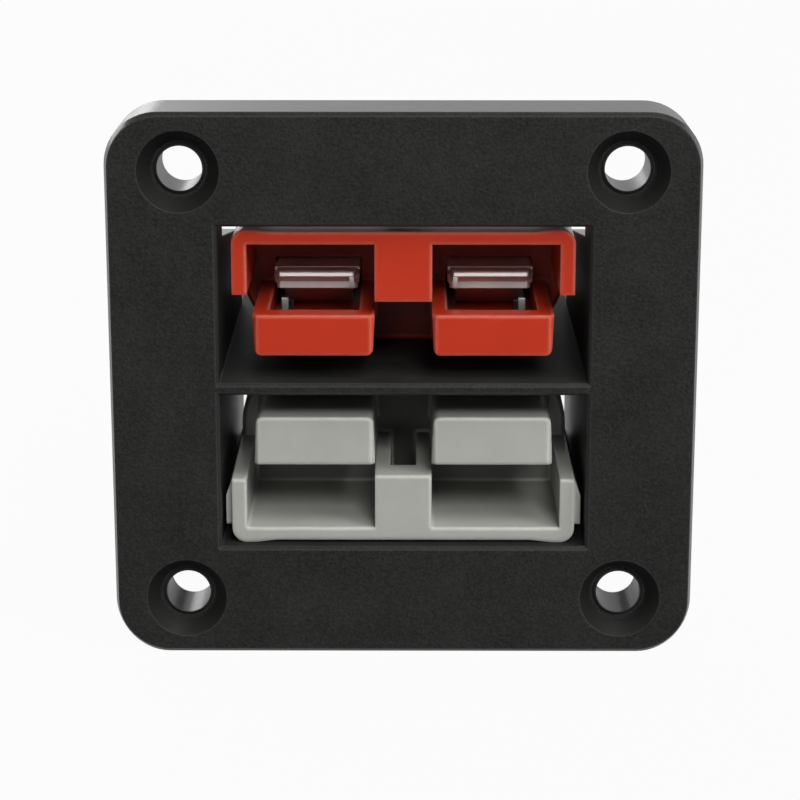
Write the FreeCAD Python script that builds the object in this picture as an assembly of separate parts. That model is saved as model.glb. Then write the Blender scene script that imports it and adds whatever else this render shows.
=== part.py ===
"""Dual power socket panel: a square bezel whose sleeve holds two genderless two-pole power connectors.

Row axes: +X right, +Z up, +Y into the panel that carries the socket. The origin is the centre of the
screw pattern on the bezel's back face, so the front face lies at negative Y and the sleeve at positive Y.
All sizes are in millimetres.
"""
import FreeCAD, Part
import math
import os

Vector = FreeCAD.Vector

# Bezel
BEZEL_WIDTH = 60.0
BEZEL_HEIGHT = 57.0
BEZEL_DEPTH = 8.0
BEZEL_CORNER_RADIUS = 5.6
BEZEL_EDGE_CHAMFER = 0.4
FACE_THICKNESS = 2.8
RIM_THICKNESS = 2.4
BACK_RIB_THICKNESS = 1.2
BACK_RIB_PITCH = 8.6
BACK_RIBS_PER_SIDE = 3

# Screw holes of the bezel
SCREW_SPACING_X = 45.0
SCREW_SPACING_Z = 45.0
SCREW_HOLE_RADIUS = 2.3
COUNTERSINK_RADIUS = 4.15
COUNTERSINK_DEPTH = 3.3
SCREW_BOSS_WALL = 3.1

# Connector housing, measured from the outer face of its hood and from its mating face
HOUSING_LENGTH = 47.6
HOUSING_HEIGHT = 15.7
HOUSING_WIDTH = 35.5
SIDE_RIDGE_THICKNESS = 0.7
SIDE_RIDGE_START = 1.6
SIDE_RIDGE_END = 6.7
SIDE_RIDGE_SETBACK = 1.2
SIDE_RIDGE_REAR = 24.0
SIDE_RIDGE_BEVEL = 2.0
HUMP_HEIGHT = 0.25
HUMP_FOOT = 13.3
HUMP_CREST = 15.3
HUMP_RADIUS = 6.0
HOOD_CORNER_RADIUS = 1.5
FLANK_RADIUS = 7.6
FLANK_EDGE_CHAMFER = 0.5
HOOD_DEPTH = 16.0
HOOD_PLATE = 1.32
HOOD_SIDE_WALL = 1.53
HOOD_SIDE_DROP = 6.8
CENTRE_RIB_WIDTH = 5.85
CENTRE_RIB_DROP = 7.2
RIB_SLOT_WIDTH = 2.7
RIB_SLOT_DEPTH = 4.4
RIB_SLOT_WALL = 3.8
POLE_OFFSET = 9.15
TONGUE_WIDTH = 12.45
TONGUE_RIM_DROP = 8.95
TONGUE_BOTTOM_DROP = 13.15
TONGUE_TAPER = 0.2
TONGUE_WALL = 1.6
TONGUE_FLOOR = 1.2
TONGUE_FRONT_WALL = 2.5
TONGUE_EDGE_CHAMFER = 0.4
TONGUE_BOTTOM_RADIUS = 0.7
CHANNEL_ROOF_DROP = 6.35
BODY_SIDE_LENGTH = 31.0
BODY_LENGTH = 40.5
BODY_REAR_NARROWING = 1.6
REAR_CORNER_CHAMFER = 1.6
BARREL_RADIUS = 7.1
WIRE_ENTRY_RADIUS = 4.8
WIRE_ENTRY_LEAD_IN = 0.7
BORE_STEP = 28.5
FIRST_BOLT_SETBACK = 19.0
BOLT_PITCH = 15.9

# Contact, a flat blade with a round wire barrel
CONTACT_SIDE_CLEARANCE = 0.15
BLADE_THICKNESS = 1.6
BLADE_TOP_DROP = 7.3
NOSE_LIFT = 1.1
NOSE_SETBACK = 8.5
NOSE_DROP = 2.2
NOSE_RADIUS = 0.9
NOSE_INNER_RADIUS = 0.3
NOSE_TAPER = 0.5
NOSE_TAPER_LENGTH = 2.5
BLADE_END = 30.5
BARREL_START = 29.5
BARREL_END = 44.0
CONTACT_BARREL_RADIUS = 4.2
WIRE_BORE_RADIUS = 2.95
WIRE_BORE_LENGTH = 9.5

# Leaf spring under each contact
SPRING_WIDTH = 7.0
SPRING_THICKNESS = 0.5
SPRING_FRONT_GAP = 1.4
SPRING_REAR = 24.5
SPRING_FOOT_LENGTH = 6.0
SPRING_BEND_RADIUS = 2.0
FINGER_WIDTH = 0.7
FINGER_SETBACK = 5.6
FINGER_BEND_RADIUS = 0.3

# Sleeve and divider, moulded in one with the bezel
SIDE_CLEARANCE = 0.35
HEAD_CLEARANCE = 0.525
SEAT_CLEARANCE = 0.05
DIVIDER_THICKNESS = 1.25
SLEEVE_WALL = 2.2
SLEEVE_CORNER_RADIUS = 1.5
SIDE_WALL_STEP = 2.6
SIDE_WALL_SLOPE = 10.0
SIDE_WALL_REAR_Y = 27.0
SIDE_WALL_REAR_RADIUS = 4.0
SHELF_CORNER_CHAMFER = 5.0
SLEEVE_REAR_MARGIN = 6.0
MOUTH_EDGE_CHAMFER = 0.3
MATING_RECESS = 1.5

# Retaining bolts with washers and nuts
BOLT_RADIUS = 1.5
BOLT_LENGTH = 40.0
BOLT_HOLE_CLEARANCE = 0.1
BOLT_HEAD_RADIUS = 2.9
BOLT_HEAD_HEIGHT = 2.1
WASHER_RADIUS = 3.5
WASHER_THICKNESS = 0.5
SPRING_WASHER_RADIUS = 2.8
SPRING_WASHER_THICKNESS = 0.8
SPRING_WASHER_SLIT = 0.5
NUT_ACROSS_FLATS = 5.5
NUT_HEIGHT = 2.4
THREAD_CLEARANCE = 0.02

# What follows from those values
FRONT_Y = -BEZEL_DEPTH
MATING_Y = FRONT_Y + MATING_RECESS
OPENING_WIDTH = HOUSING_WIDTH + 2 * SIDE_RIDGE_THICKNESS + 2 * SIDE_CLEARANCE
COMPARTMENT_HEIGHT = HOUSING_HEIGHT + HEAD_CLEARANCE + SEAT_CLEARANCE
OPENING_HEIGHT = 2 * COMPARTMENT_HEIGHT + DIVIDER_THICKNESS
SLEEVE_WIDTH = OPENING_WIDTH + 2 * SLEEVE_WALL
SLEEVE_HEIGHT = OPENING_HEIGHT + 2 * SLEEVE_WALL
HALF_BOSS = SCREW_HOLE_RADIUS + SCREW_BOSS_WALL
BOLT_HOLE_RADIUS = BOLT_RADIUS + BOLT_HOLE_CLEARANCE
BOLT_SETBACKS = (FIRST_BOLT_SETBACK, FIRST_BOLT_SETBACK + BOLT_PITCH)
SLEEVE_REAR_Y = MATING_Y + BOLT_SETBACKS[-1] + SLEEVE_REAR_MARGIN
BODY_CENTRE_DROP = (HUMP_HEIGHT + HOUSING_HEIGHT) / 2
CHANNEL_FLOOR_DROP = TONGUE_BOTTOM_DROP - TONGUE_FLOOR
CHANNEL_WIDTH = TONGUE_WIDTH - 2 * TONGUE_WALL
BLADE_WIDTH = CHANNEL_WIDTH - 2 * CONTACT_SIDE_CLEARANCE
UPPER_HOOD_Z = DIVIDER_THICKNESS / 2 + SEAT_CLEARANCE + HOUSING_HEIGHT
LOWER_HOOD_Z = SEAT_CLEARANCE - OPENING_HEIGHT / 2
HEAD_WASHER_Z = UPPER_HOOD_Z - HUMP_HEIGHT
SLEEVE_UNDERSIDE_Z = -SLEEVE_HEIGHT / 2


def box(low, high):
    """A block between two opposite corners."""
    size = [high[i] - low[i] for i in range(3)]
    return Part.makeBox(size[0], size[1], size[2], Vector(*low))


def cylinder(radius, start, direction, length):
    """A round bar from its start point along a direction."""
    return Part.makeCylinder(radius, length, Vector(*start), Vector(*direction))


def rounded_outline(corners, radii):
    """A closed wire through the corners, each rounded by a tangent arc of its own radius."""
    points = [Vector(*corner) for corner in corners]
    count = len(points)
    entries = []
    exits = []
    arcs = []
    for index in range(count):
        here = points[index]
        to_before = (points[index - 1] - here).normalize()
        to_after = (points[(index + 1) % count] - here).normalize()
        half_angle = to_before.getAngle(to_after) / 2
        run = radii[index] / math.tan(half_angle)
        entries.append(here + to_before * run)
        exits.append(here + to_after * run)
        if radii[index] > 0:
            inward = (to_before + to_after).normalize()
            crown = here + inward * (radii[index] / math.sin(half_angle) - radii[index])
            arcs.append(Part.Arc(entries[-1], crown, exits[-1]).toShape())
        else:
            arcs.append(None)
    edges = []
    for index in range(count):
        if arcs[index] is not None:
            edges.append(arcs[index])
        following = entries[(index + 1) % count]
        if exits[index].distanceToPoint(following) > 1e-6:
            edges.append(Part.makeLine(exits[index], following))
    return Part.Wire(edges)


def rectangle_outline(width, height, radius, y, centre_x=0.0, centre_z=0.0):
    """A rounded rectangle in an upright plane at depth y."""
    half_width = width / 2
    half_height = height / 2
    corners = [
        (centre_x - half_width, y, centre_z - half_height),
        (centre_x + half_width, y, centre_z - half_height),
        (centre_x + half_width, y, centre_z + half_height),
        (centre_x - half_width, y, centre_z + half_height),
    ]
    return rounded_outline(corners, [radius] * 4)


def prism(wire, direction):
    """A straight solid with the wire as its section."""
    return Part.Face(wire).extrude(Vector(*direction))


def rectangle_prism(width, height, radius, y_start, y_end):
    """A rounded rectangle carried along Y."""
    return prism(rectangle_outline(width, height, radius, y_start), (0, y_end - y_start, 0))


def chamfer_where(shape, size, chooser):
    """The shape with a chamfer on each edge that the chooser accepts."""
    edges = [edge for edge in shape.Edges if chooser(edge)]
    return shape.makeChamfer(size, edges)


def edge_lies_at_y(edge, y):
    """True where every point of the edge is in the plane at depth y."""
    limits = edge.BoundBox
    return abs(limits.YMin - y) < 1e-4 and abs(limits.YMax - y) < 1e-4


def screw_positions():
    """The four screw centres as X and Z pairs."""
    return [(sx * SCREW_SPACING_X / 2, sz * SCREW_SPACING_Z / 2) for sx in (-1, 1) for sz in (-1, 1)]


def bezel_blank():
    """The bezel's outer form: a rounded square with a broken front edge."""
    blank = rectangle_prism(BEZEL_WIDTH, BEZEL_HEIGHT, BEZEL_CORNER_RADIUS, FRONT_Y, 0)
    return chamfer_where(blank, BEZEL_EDGE_CHAMFER, lambda edge: edge_lies_at_y(edge, FRONT_Y))


def back_coring():
    """The pockets that keep the moulding light: a ring cut back from behind, less screw bosses and ribs."""
    floor_y = FRONT_Y + FACE_THICKNESS
    inner_radius = max(BEZEL_CORNER_RADIUS - RIM_THICKNESS, 0.5)
    ring = rectangle_prism(
        BEZEL_WIDTH - 2 * RIM_THICKNESS, BEZEL_HEIGHT - 2 * RIM_THICKNESS, inner_radius, floor_y, 0
    )
    ring = ring.cut(rectangle_prism(SLEEVE_WIDTH, SLEEVE_HEIGHT, SLEEVE_CORNER_RADIUS, floor_y, 0))
    kept = []
    for x, z in screw_positions():
        kept.append(box((x - HALF_BOSS, floor_y, z - HALF_BOSS), (x + HALF_BOSS, 0, z + HALF_BOSS)))
    half_rib = BACK_RIB_THICKNESS / 2
    for index in range(BACK_RIBS_PER_SIDE):
        place = (index - (BACK_RIBS_PER_SIDE - 1) / 2) * BACK_RIB_PITCH
        low = place - half_rib
        high = place + half_rib
        kept.append(box((-BEZEL_WIDTH / 2, floor_y, low), (BEZEL_WIDTH / 2, 0, high)))
        kept.append(box((low, floor_y, -BEZEL_HEIGHT / 2), (high, 0, BEZEL_HEIGHT / 2)))
    return ring.cut(kept)


def sleeve_outer():
    """The sleeve behind the bezel: a collar, then side walls that fall towards the rear, and two shelves."""
    start_y = FRONT_Y + FACE_THICKNESS
    half_width = SLEEVE_WIDTH / 2
    low = -SLEEVE_HEIGHT / 2
    wall_top = OPENING_HEIGHT / 2 - SIDE_WALL_STEP
    wall_fall = SIDE_WALL_REAR_Y * math.tan(math.radians(SIDE_WALL_SLOPE))
    side_view = rounded_outline(
        [
            (-half_width, start_y, low),
            (-half_width, SIDE_WALL_REAR_Y, low),
            (-half_width, SIDE_WALL_REAR_Y, wall_top - wall_fall),
            (-half_width, 0, wall_top),
            (-half_width, start_y, wall_top),
        ],
        [0, 0, SIDE_WALL_REAR_RADIUS, 0, 0],
    )
    walls = prism(side_view, (SLEEVE_WIDTH, 0, 0))
    rear_half = half_width - SHELF_CORNER_CHAMFER
    corner_y = SLEEVE_REAR_Y - SHELF_CORNER_CHAMFER
    plan = Part.makePolygon([
        Vector(-half_width, start_y, 0),
        Vector(half_width, start_y, 0),
        Vector(half_width, corner_y, 0),
        Vector(rear_half, SLEEVE_REAR_Y, 0),
        Vector(-rear_half, SLEEVE_REAR_Y, 0),
        Vector(-half_width, corner_y, 0),
        Vector(-half_width, start_y, 0),
    ])
    divider = prism(plan, (0, 0, DIVIDER_THICKNESS))
    divider.translate(Vector(0, 0, -DIVIDER_THICKNESS / 2))
    floor = prism(plan, (0, 0, SLEEVE_WALL))
    floor.translate(Vector(0, 0, low))
    section = rectangle_prism(SLEEVE_WIDTH, SLEEVE_HEIGHT, SLEEVE_CORNER_RADIUS, start_y, SLEEVE_REAR_Y)
    collar = rectangle_prism(SLEEVE_WIDTH, SLEEVE_HEIGHT, SLEEVE_CORNER_RADIUS, start_y, 0)
    return collar.fuse([body.common(section) for body in (walls, divider, floor)])


def compartments():
    """The two chambers that the connectors slide into, open at both ends."""
    half_width = OPENING_WIDTH / 2
    half_divider = DIVIDER_THICKNESS / 2
    top = OPENING_HEIGHT / 2
    far = SLEEVE_REAR_Y + 1
    upper = box((-half_width, FRONT_Y - 1, half_divider), (half_width, far, top))
    lower = box((-half_width, FRONT_Y - 1, -top), (half_width, far, -half_divider))
    return [upper, lower]


def screw_hole(x, z):
    """A through hole with its countersink, as one turned cutter."""
    mouth_y = FRONT_Y - 0.5
    slope = (COUNTERSINK_RADIUS - SCREW_HOLE_RADIUS) / COUNTERSINK_DEPTH
    mouth_radius = COUNTERSINK_RADIUS + slope * (FRONT_Y - mouth_y)
    cone_end = FRONT_Y + COUNTERSINK_DEPTH
    profile = Part.makePolygon([
        Vector(x, mouth_y, z),
        Vector(x + mouth_radius, mouth_y, z),
        Vector(x + SCREW_HOLE_RADIUS, cone_end, z),
        Vector(x + SCREW_HOLE_RADIUS, 1, z),
        Vector(x, 1, z),
        Vector(x, mouth_y, z),
    ])
    return Part.Face(profile).revolve(Vector(x, 0, z), Vector(0, 1, 0), 360)


def bezel_housing():
    """The one-piece moulding: bezel, countersunk holes, sleeve, divider and bolt holes."""
    moulding = bezel_blank().cut(back_coring())
    moulding = moulding.fuse(sleeve_outer())
    moulding = moulding.cut(compartments())
    inside_x = OPENING_WIDTH / 2 + 1e-3
    inside_z = OPENING_HEIGHT / 2 + 1e-3

    def is_mouth_edge(edge):
        limits = edge.BoundBox
        within = max(-limits.XMin, limits.XMax) < inside_x and max(-limits.ZMin, limits.ZMax) < inside_z
        return within and edge_lies_at_y(edge, FRONT_Y)

    moulding = chamfer_where(moulding, MOUTH_EDGE_CHAMFER, is_mouth_edge)
    cutters = [screw_hole(x, z) for x, z in screw_positions()]
    for setback in BOLT_SETBACKS:
        start = (0, MATING_Y + setback, -SLEEVE_HEIGHT / 2 - 1)
        cutters.append(cylinder(BOLT_HOLE_RADIUS, start, (0, 0, 1), SLEEVE_HEIGHT + 2))
    return moulding.cut(cutters).removeSplitter()


def housing_blank():
    """The housing's outer form: an end view carried back, trimmed by a plan that narrows to the rear."""
    half = HOUSING_WIDTH / 2
    bottom = -HOUSING_HEIGHT
    end_view = rounded_outline(
        [
            (-half, 0, bottom),
            (half, 0, bottom),
            (half, 0, 0),
            (HUMP_CREST, 0, 0),
            (HUMP_FOOT, 0, -HUMP_HEIGHT),
            (-HUMP_FOOT, 0, -HUMP_HEIGHT),
            (-HUMP_CREST, 0, 0),
            (-half, 0, 0),
        ],
        [FLANK_RADIUS, FLANK_RADIUS, HOOD_CORNER_RADIUS] + [HUMP_RADIUS] * 4 + [HOOD_CORNER_RADIUS],
    )
    rear_half = half - BODY_REAR_NARROWING
    rear_flat = rear_half - REAR_CORNER_CHAMFER
    shoulder_y = BODY_LENGTH - REAR_CORNER_CHAMFER
    plan = Part.makePolygon([
        Vector(-half, 0, bottom),
        Vector(half, 0, bottom),
        Vector(half, BODY_SIDE_LENGTH, bottom),
        Vector(rear_half, shoulder_y, bottom),
        Vector(rear_flat, BODY_LENGTH, bottom),
        Vector(-rear_flat, BODY_LENGTH, bottom),
        Vector(-rear_half, shoulder_y, bottom),
        Vector(-half, BODY_SIDE_LENGTH, bottom),
        Vector(-half, 0, bottom),
    ])
    blank = prism(end_view, (0, BODY_LENGTH, 0)).common(prism(plan, (0, 0, HOUSING_HEIGHT)))
    barrels = []
    for side in (-1, 1):
        start = (side * POLE_OFFSET, BODY_SIDE_LENGTH, -BODY_CENTRE_DROP)
        barrels.append(cylinder(BARREL_RADIUS, start, (0, 1, 0), HOUSING_LENGTH - BODY_SIDE_LENGTH))
    return blank.fuse(barrels)


def side_ridge(side):
    """The low rib on the outside of a hood wall, with a slanted end on its tongue side."""
    inner = side * (HOUSING_WIDTH / 2 - HOOD_SIDE_WALL / 2)
    outer = side * (HOUSING_WIDTH / 2 + SIDE_RIDGE_THICKNESS)
    front = SIDE_RIDGE_SETBACK
    outline = Part.makePolygon([
        Vector(inner, front, -SIDE_RIDGE_START),
        Vector(outer, front, -SIDE_RIDGE_START),
        Vector(outer, front, -SIDE_RIDGE_END + SIDE_RIDGE_BEVEL),
        Vector(outer - side * SIDE_RIDGE_THICKNESS, front, -SIDE_RIDGE_END),
        Vector(inner, front, -SIDE_RIDGE_END),
        Vector(inner, front, -SIDE_RIDGE_START),
    ])
    return prism(outline, (0, SIDE_RIDGE_REAR - front, 0))


def mating_space():
    """What is removed under the hood so that a facing housing can enter, leaving the centre rib."""
    wide = HOUSING_WIDTH
    inside = HOUSING_WIDTH / 2 - HOOD_SIDE_WALL
    ceiling = -HUMP_HEIGHT - HOOD_PLATE
    below = box((-wide, -1, -HOUSING_HEIGHT - 1), (wide, HOOD_DEPTH, -HOOD_SIDE_DROP))
    under_plate = box((-inside, -1, -HOOD_SIDE_DROP - 0.5), (inside, HOOD_DEPTH, ceiling))
    rib = box((-CENTRE_RIB_WIDTH / 2, -2, -CENTRE_RIB_DROP), (CENTRE_RIB_WIDTH / 2, HOOD_DEPTH + 1, 0))
    return below.fuse(under_plate).cut(rib)


def tongue(side):
    """The open-topped box that carries one contact: drafted sides, broken front edges."""
    inner = POLE_OFFSET - TONGUE_WIDTH / 2
    outer = POLE_OFFSET + TONGUE_WIDTH / 2
    outline = rounded_outline(
        [
            (inner, 0, -TONGUE_RIM_DROP),
            (outer, 0, -TONGUE_RIM_DROP),
            (outer - TONGUE_TAPER, 0, -TONGUE_BOTTOM_DROP),
            (inner + TONGUE_TAPER, 0, -TONGUE_BOTTOM_DROP),
        ],
        [0, 0, TONGUE_BOTTOM_RADIUS, TONGUE_BOTTOM_RADIUS],
    )
    length = HOOD_DEPTH + 1
    edge = TONGUE_EDGE_CHAMFER
    plan = Part.makePolygon([
        Vector(inner + edge, 0, -HOUSING_HEIGHT),
        Vector(outer - edge, 0, -HOUSING_HEIGHT),
        Vector(outer, edge, -HOUSING_HEIGHT),
        Vector(outer, length, -HOUSING_HEIGHT),
        Vector(inner, length, -HOUSING_HEIGHT),
        Vector(inner, edge, -HOUSING_HEIGHT),
        Vector(inner + edge, 0, -HOUSING_HEIGHT),
    ])
    bar = prism(outline, (0, length, 0)).common(prism(plan, (0, 0, HOUSING_HEIGHT)))
    if side < 0:
        bar = bar.mirror(Vector(0, 0, 0), Vector(1, 0, 0))
    return bar


def contact_channel(side):
    """The passage for one contact: open tongue box, rectangular way through the body, round rear bore."""
    centre = side * POLE_OFFSET
    half = CHANNEL_WIDTH / 2
    floor = -CHANNEL_FLOOR_DROP
    above_rim = 1 - TONGUE_RIM_DROP
    tray = box((centre - half, TONGUE_FRONT_WALL, floor), (centre + half, HOOD_DEPTH + 1, above_rim))
    way = box((centre - half, HOOD_DEPTH - 1, floor), (centre + half, BORE_STEP, -CHANNEL_ROOF_DROP))
    profile = Part.makePolygon([
        Vector(centre, BORE_STEP, -BODY_CENTRE_DROP),
        Vector(centre + WIRE_ENTRY_RADIUS, BORE_STEP, -BODY_CENTRE_DROP),
        Vector(centre + WIRE_ENTRY_RADIUS, HOUSING_LENGTH - WIRE_ENTRY_LEAD_IN, -BODY_CENTRE_DROP),
        Vector(centre + WIRE_ENTRY_RADIUS + WIRE_ENTRY_LEAD_IN, HOUSING_LENGTH, -BODY_CENTRE_DROP),
        Vector(centre + WIRE_ENTRY_RADIUS + WIRE_ENTRY_LEAD_IN, HOUSING_LENGTH + 1, -BODY_CENTRE_DROP),
        Vector(centre, HOUSING_LENGTH + 1, -BODY_CENTRE_DROP),
        Vector(centre, BORE_STEP, -BODY_CENTRE_DROP),
    ])
    bore = Part.Face(profile).revolve(Vector(centre, 0, -BODY_CENTRE_DROP), Vector(0, 1, 0), 360)
    return tray.fuse([way, bore])


def rib_slot():
    """The slot in the centre rib, closed at the front by a wall and open to the body at the back."""
    half = RIB_SLOT_WIDTH / 2
    floor = -CENTRE_RIB_DROP + RIB_SLOT_DEPTH
    return box((-half, RIB_SLOT_WALL, -HOUSING_HEIGHT), (half, HOOD_DEPTH, floor))


def is_body_front_arc(edge):
    """True for the two long arcs where the body's rounded flanks meet its front face."""
    radius = getattr(edge.Curve, "Radius", 0)
    return edge_lies_at_y(edge, HOOD_DEPTH) and abs(radius - FLANK_RADIUS) < 1e-3


def connector_housing():
    """One genderless housing in its own frame: hood up, mating face at y = 0, hood face at z = 0."""
    body = housing_blank().fuse([side_ridge(-1), side_ridge(1)])
    body = body.cut(mating_space())
    body = chamfer_where(body, FLANK_EDGE_CHAMFER, is_body_front_arc)
    body = body.fuse([tongue(-1), tongue(1)])
    cutters = [contact_channel(-1), contact_channel(1), rib_slot()]
    for setback in BOLT_SETBACKS:
        start = (0, setback, -HOUSING_HEIGHT - 1)
        cutters.append(cylinder(BOLT_HOLE_RADIUS, start, (0, 0, 1), HOUSING_HEIGHT + 2))
    return body.cut(cutters).removeSplitter()


def blade_top(y):
    """The height of a blade's upper face at a depth: it rises evenly from its root to its nose."""
    return -BLADE_TOP_DROP + NOSE_LIFT * (BLADE_END - y) / (BLADE_END - NOSE_SETBACK)


def contact(side):
    """A contact: sloping blade with a tapered nose turned down, and a round barrel for the wire."""
    centre = side * POLE_OFFSET
    left = centre - BLADE_WIDTH / 2
    inner_y = NOSE_SETBACK + BLADE_THICKNESS
    nose_top = blade_top(NOSE_SETBACK)
    side_view = rounded_outline(
        [
            (left, NOSE_SETBACK, nose_top),
            (left, BLADE_END, -BLADE_TOP_DROP),
            (left, BLADE_END, -BLADE_TOP_DROP - BLADE_THICKNESS),
            (left, inner_y, blade_top(inner_y) - BLADE_THICKNESS),
            (left, inner_y, nose_top - NOSE_DROP),
            (left, NOSE_SETBACK, nose_top - NOSE_DROP),
        ],
        [NOSE_RADIUS, 0, 0, NOSE_INNER_RADIUS, 0, 0],
    )
    half = BLADE_WIDTH / 2
    low = nose_top - NOSE_DROP - 1
    plan = Part.makePolygon([
        Vector(centre - half + NOSE_TAPER, NOSE_SETBACK, low),
        Vector(centre + half - NOSE_TAPER, NOSE_SETBACK, low),
        Vector(centre + half, NOSE_SETBACK + NOSE_TAPER_LENGTH, low),
        Vector(centre + half, BLADE_END, low),
        Vector(centre - half, BLADE_END, low),
        Vector(centre - half, NOSE_SETBACK + NOSE_TAPER_LENGTH, low),
        Vector(centre - half + NOSE_TAPER, NOSE_SETBACK, low),
    ])
    blade = prism(side_view, (BLADE_WIDTH, 0, 0)).common(prism(plan, (0, 0, HOUSING_HEIGHT)))
    start = (centre, BARREL_START, -BODY_CENTRE_DROP)
    barrel = cylinder(CONTACT_BARREL_RADIUS, start, (0, 1, 0), BARREL_END - BARREL_START)
    bore_start = (centre, BARREL_END - WIRE_BORE_LENGTH, -BODY_CENTRE_DROP)
    wire_bore = cylinder(WIRE_BORE_RADIUS, bore_start, (0, 1, 0), WIRE_BORE_LENGTH + 1)
    return blade.fuse(barrel).cut(wire_bore).removeSplitter()


def contact_spring(side):
    """The leaf spring that lifts a contact: foot on the channel floor, rising leaf and one upright finger."""
    centre = side * POLE_OFFSET
    left = centre - SPRING_WIDTH / 2
    floor = -CHANNEL_FLOOR_DROP + SEAT_CLEARANCE
    thick = SPRING_THICKNESS
    foot_front = SPRING_REAR - SPRING_FOOT_LENGTH
    crest_y = NOSE_SETBACK + BLADE_THICKNESS + SPRING_FRONT_GAP
    crest = blade_top(crest_y) - BLADE_THICKNESS - SEAT_CLEARANCE
    side_view = rounded_outline(
        [
            (left, SPRING_REAR, floor),
            (left, SPRING_REAR, floor + thick),
            (left, foot_front, floor + thick),
            (left, crest_y, crest),
            (left, crest_y - thick, crest - thick),
            (left, foot_front - thick, floor),
        ],
        [0, 0, SPRING_BEND_RADIUS, 0, 0, SPRING_BEND_RADIUS],
    )
    leaf = prism(side_view, (SPRING_WIDTH, 0, 0))
    outer = centre + side * SPRING_WIDTH / 2
    finger_left = min(outer, outer - side * FINGER_WIDTH)
    finger_top = blade_top(NOSE_SETBACK) - NOSE_DROP - SEAT_CLEARANCE
    foot_rear = foot_front + 1
    finger_view = rounded_outline(
        [
            (finger_left, foot_rear, floor),
            (finger_left, foot_rear, floor + thick),
            (finger_left, FINGER_SETBACK + thick, floor + thick),
            (finger_left, FINGER_SETBACK + thick, finger_top),
            (finger_left, FINGER_SETBACK, finger_top),
            (finger_left, FINGER_SETBACK, floor),
        ],
        [0, 0, FINGER_BEND_RADIUS, 0, 0, FINGER_BEND_RADIUS + thick],
    )
    return leaf.fuse(prism(finger_view, (FINGER_WIDTH, 0, 0))).removeSplitter()


def place_upper(shape):
    """Sets a connector piece in the upper compartment, hood up, resting on the divider."""
    placed = shape.copy()
    placed.translate(Vector(0, MATING_Y, UPPER_HOOD_Z))
    return placed


def place_lower(shape):
    """Sets a connector piece in the lower compartment, turned over, resting on the sleeve's floor."""
    placed = shape.copy()
    placed.rotate(Vector(0, 0, 0), Vector(0, 1, 0), 180)
    placed.translate(Vector(0, MATING_Y, LOWER_HOOD_Z))
    return placed


def retaining_bolt(y):
    """A pan-head bolt through both housings, the divider and the sleeve's floor."""
    seat = HEAD_WASHER_Z + WASHER_THICKNESS
    head = cylinder(BOLT_HEAD_RADIUS, (0, y, seat), (0, 0, 1), BOLT_HEAD_HEIGHT)
    shank = cylinder(BOLT_RADIUS, (0, y, seat - BOLT_LENGTH), (0, 0, 1), BOLT_LENGTH)
    return head.fuse(shank)


def washer(y, low_z):
    """A plain washer lying flat at a height."""
    ring = cylinder(WASHER_RADIUS, (0, y, low_z), (0, 0, 1), WASHER_THICKNESS)
    return ring.cut(cylinder(BOLT_HOLE_RADIUS, (0, y, low_z - 1), (0, 0, 1), WASHER_THICKNESS + 2))


def spring_washer(y):
    """A split ring between the plain washer and the nut."""
    top = SLEEVE_UNDERSIDE_Z - WASHER_THICKNESS
    low = top - SPRING_WASHER_THICKNESS
    ring = cylinder(SPRING_WASHER_RADIUS, (0, y, low), (0, 0, 1), SPRING_WASHER_THICKNESS)
    ring = ring.cut(cylinder(BOLT_HOLE_RADIUS, (0, y, low - 1), (0, 0, 1), SPRING_WASHER_THICKNESS + 2))
    half = SPRING_WASHER_SLIT / 2
    lean = SPRING_WASHER_THICKNESS
    slit = Part.makePolygon([
        Vector(0, y - half, low - 0.1),
        Vector(0, y + half, low - 0.1),
        Vector(0, y + half + lean, top + 0.1),
        Vector(0, y - half + lean, top + 0.1),
        Vector(0, y - half, low - 0.1),
    ])
    return ring.cut(prism(slit, (SPRING_WASHER_RADIUS + 1, 0, 0)))


def hexagon_nut(y):
    """A hexagon nut under the spring washer."""
    top = SLEEVE_UNDERSIDE_Z - WASHER_THICKNESS - SPRING_WASHER_THICKNESS
    corner_radius = NUT_ACROSS_FLATS / math.sqrt(3)
    corners = []
    for index in range(6):
        angle = math.radians(60 * index)
        corners.append((corner_radius * math.cos(angle), y + corner_radius * math.sin(angle), top))
    hexagon = prism(rounded_outline(corners, [0] * 6), (0, 0, -NUT_HEIGHT))
    return hexagon.cut(cylinder(BOLT_RADIUS + THREAD_CLEARANCE, (0, y, top + 1), (0, 0, -1), NUT_HEIGHT + 2))


def build_parts():
    """Every separate piece of the assembly, by name."""
    parts = {"bezel_housing": bezel_housing()}
    housing = connector_housing()
    contacts = {"left": contact(-1), "right": contact(1)}
    springs = {"left": contact_spring(-1), "right": contact_spring(1)}
    flipped = {"left": "right", "right": "left"}
    parts["red_connector_housing"] = place_upper(housing)
    parts["grey_connector_housing"] = place_lower(housing)
    for side in ("left", "right"):
        parts["red_contact_" + side] = place_upper(contacts[side])
        parts["red_contact_spring_" + side] = place_upper(springs[side])
        parts["grey_contact_" + side] = place_lower(contacts[flipped[side]])
        parts["grey_contact_spring_" + side] = place_lower(springs[flipped[side]])
    for name, setback in zip(("front", "rear"), BOLT_SETBACKS):
        y = MATING_Y + setback
        parts["retaining_bolt_" + name] = retaining_bolt(y)
        parts["head_washer_" + name] = washer(y, HEAD_WASHER_Z)
        parts["nut_washer_" + name] = washer(y, SLEEVE_UNDERSIDE_Z - WASHER_THICKNESS)
        parts["spring_washer_" + name] = spring_washer(y)
        parts["hexagon_nut_" + name] = hexagon_nut(y)
    return parts


os.makedirs("parts", exist_ok=True)
for part_name, part_shape in build_parts().items():
    part_shape.exportStep("parts/" + part_name + ".step")
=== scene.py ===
import math

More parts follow.
